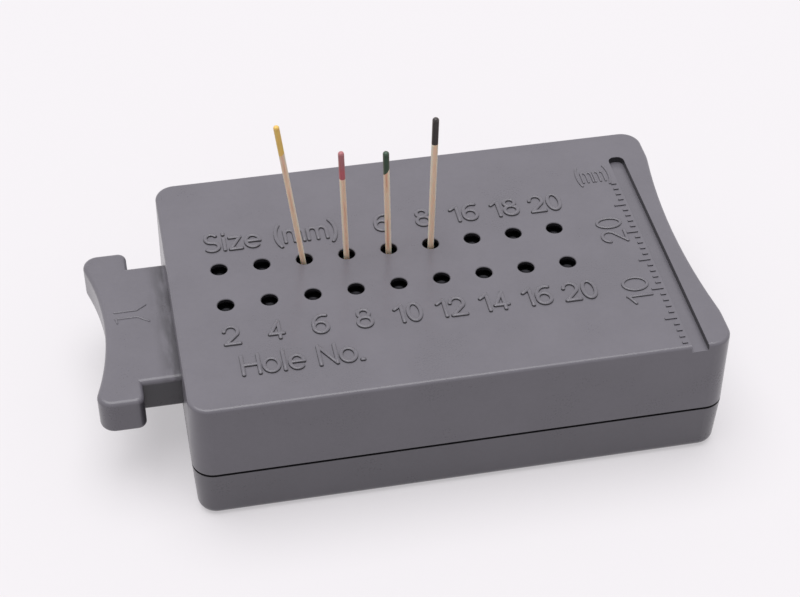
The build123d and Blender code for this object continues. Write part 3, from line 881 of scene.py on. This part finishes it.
class GAUGE_OT_steel(bpy.types.Operator):
    """Finish the plates, screws, pins and springs as steel"""

    bl_idname = "gauge.steel"
    bl_label = "Finish the steel pieces"

    def execute(self, context):
        inside = context.scene.gauge_inside
        plate = inside.plate_colour
        # The gauge plate's near-black colour is painted shade for the holes
        dress("gauge_plate", steel_finish("stained_gauge_plate", plate, roughness=0.34, along="x"))
        blade = inside.blade_colour
        dress("blade_plate", steel_finish("ground_blade", blade, roughness=0.20, along="x"))
        turned = steel_finish("turned_steel", inside.screw_colour, roughness=0.28, along="z")
        drawn = steel_finish("drawn_wire", inside.wire_colour, roughness=0.32, along="x")
        for node in ("blade_screws", "handle_screws", "rail_screws", "cover_screws"):
            dress(node, turned)
        for side in ("front", "rear"):
            dress("spring_pin_" + side, turned)
            dress("return_spring_" + side, drawn)
        return {"FINISHED"}


class GAUGE_OT_slide(bpy.types.Operator):
    """Finish the carriage and its guide rails as dark moulded plastic"""

    bl_idname = "gauge.slide"
    bl_label = "Finish the carriage and rails"

    def execute(self, context):
        shell = context.scene.gauge_shell
        colour = context.scene.gauge_inside.carriage_colour
        dark = moulded_finish("carriage_dark", shell, colour)
        for node in ("blade_carriage", "guide_rail_front", "guide_rail_rear"):
            dress(node, dark)
        return {"FINISHED"}


# The floor's side in metres, and how much darker it is as it lights the part
FLOOR_SIZE = 6.0
FLOOR_BOUNCE_TINT = -0.35

# Nothing nearer than this is in the camera's view
CLIP_START = 10 * MM


class GAUGE_OT_studio(bpy.types.Operator):
    """Lay the pale floor and set the soft light and the camera"""

    bl_idname = "gauge.studio"
    bl_label = "Set the studio"

    def execute(self, context):
        studio = context.scene.gauge_studio
        self.lay_floor(studio)
        self.light_world(context, studio)
        self.hang_lamp(studio)
        self.set_camera(context, studio)
        context.scene.view_settings.view_transform = "Standard"
        return {"FINISHED"}

    def lay_floor(self, studio):
        """A pale floor, which glows a little as it is seen and is darker as it lights the part."""
        bpy.ops.object.select_all(action="DESELECT")
        bpy.ops.mesh.primitive_plane_add(size=FLOOR_SIZE, location=(0, 0, 0))
        floor = bpy.context.object
        floor.name = "floor"
        finish = Finish(bpy.data.materials.new("pale_floor"))
        bounced = tinted(studio.floor_colour, FLOOR_BOUNCE_TINT)
        paint = finish.mix(finish.seen(), bounced, studio.floor_colour)
        lit = finish.add("ShaderNodeBsdfDiffuse", {}, {"Color": paint})
        white = finish.add("ShaderNodeEmission", {}, {"Color": (*studio.glow_colour, 1)})
        glow = finish.seen() * studio.floor_glow
        both = finish.add("ShaderNodeMixShader", {}, {0: glow, 1: lit, 2: white})
        finish.add("ShaderNodeOutputMaterial", {}, {"Surface": both})
        floor.data.materials.append(finish.owner)

    def light_world(self, context, studio):
        """Even light from all round, with the backdrop where it is seen."""
        world = bpy.data.worlds.new("plain_studio")
        context.scene.world = world
        finish = Finish(world)
        light = {"Color": (*studio.fill_colour, 1), "Strength": studio.fill_strength}
        fill = finish.add("ShaderNodeBackground", {}, light)
        pale = {"Color": (*studio.backdrop_colour, 1), "Strength": 1.0}
        backdrop = finish.add("ShaderNodeBackground", {}, pale)
        both = finish.add("ShaderNodeMixShader", {}, {0: finish.seen(), 1: fill, 2: backdrop})
        finish.add("ShaderNodeOutputWorld", {}, {"Surface": both})

    def hang_lamp(self, studio):
        """One wide, soft light from above."""
        tilt = (studio.key_tilt_x, studio.key_tilt_y, 0)
        bpy.ops.object.light_add(type="SUN", location=(0, 0, 1), rotation=tilt)
        key = bpy.context.object
        key.name = "key_light"
        key.data.energy = studio.key_strength
        key.data.angle = studio.key_spread

    def set_camera(self, context, studio):
        """The photograph's view."""
        bpy.ops.object.camera_add(location=studio.camera_place)
        camera = bpy.context.object
        look = Euler((radians(90) - studio.camera_drop, 0, -studio.camera_heading))
        roll = Matrix.Rotation(studio.camera_roll, 3, "Z")
        camera.rotation_euler = (look.to_matrix() @ roll).to_euler()
        camera.data.lens = studio.lens
        camera.data.shift_x = studio.camera_shift_x
        camera.data.shift_y = studio.camera_shift_y
        camera.data.clip_start = CLIP_START
        context.scene.camera = camera


STEPS = (
    GAUGE_OT_shells,
    GAUGE_OT_handle,
    GAUGE_OT_lettering,
    GAUGE_OT_points,
    GAUGE_OT_steel,
    GAUGE_OT_slide,
    GAUGE_OT_studio,
)


class GAUGE_PT_panel(bpy.types.Panel):
    """Lists the steps that finish the gauge and set its studio"""

    bl_idname = "GAUGE_PT_panel"
    bl_label = "Point Gauge"
    bl_space_type = "VIEW_3D"
    bl_region_type = "UI"
    bl_category = "Point Gauge"

    def draw(self, context):
        for step in STEPS:
            self.layout.operator(step.bl_idname)


def register():
    for group in SETTINGS.values():
        bpy.utils.register_class(group)
    for step in (*STEPS, GAUGE_PT_panel):
        bpy.utils.register_class(step)
    for name, group in SETTINGS.items():
        setattr(bpy.types.Scene, name, PointerProperty(type=group))


def unregister():
    for name in SETTINGS:
        delattr(bpy.types.Scene, name)
    for step in (GAUGE_PT_panel, *reversed(STEPS)):
        bpy.utils.unregister_class(step)
    for group in SETTINGS.values():
        bpy.utils.unregister_class(group)


def main():
    register()
    for step in STEPS:
        space, name = step.bl_idname.split(".")
        getattr(getattr(bpy.ops, space), name)()


if __name__ == "__main__":
    main()
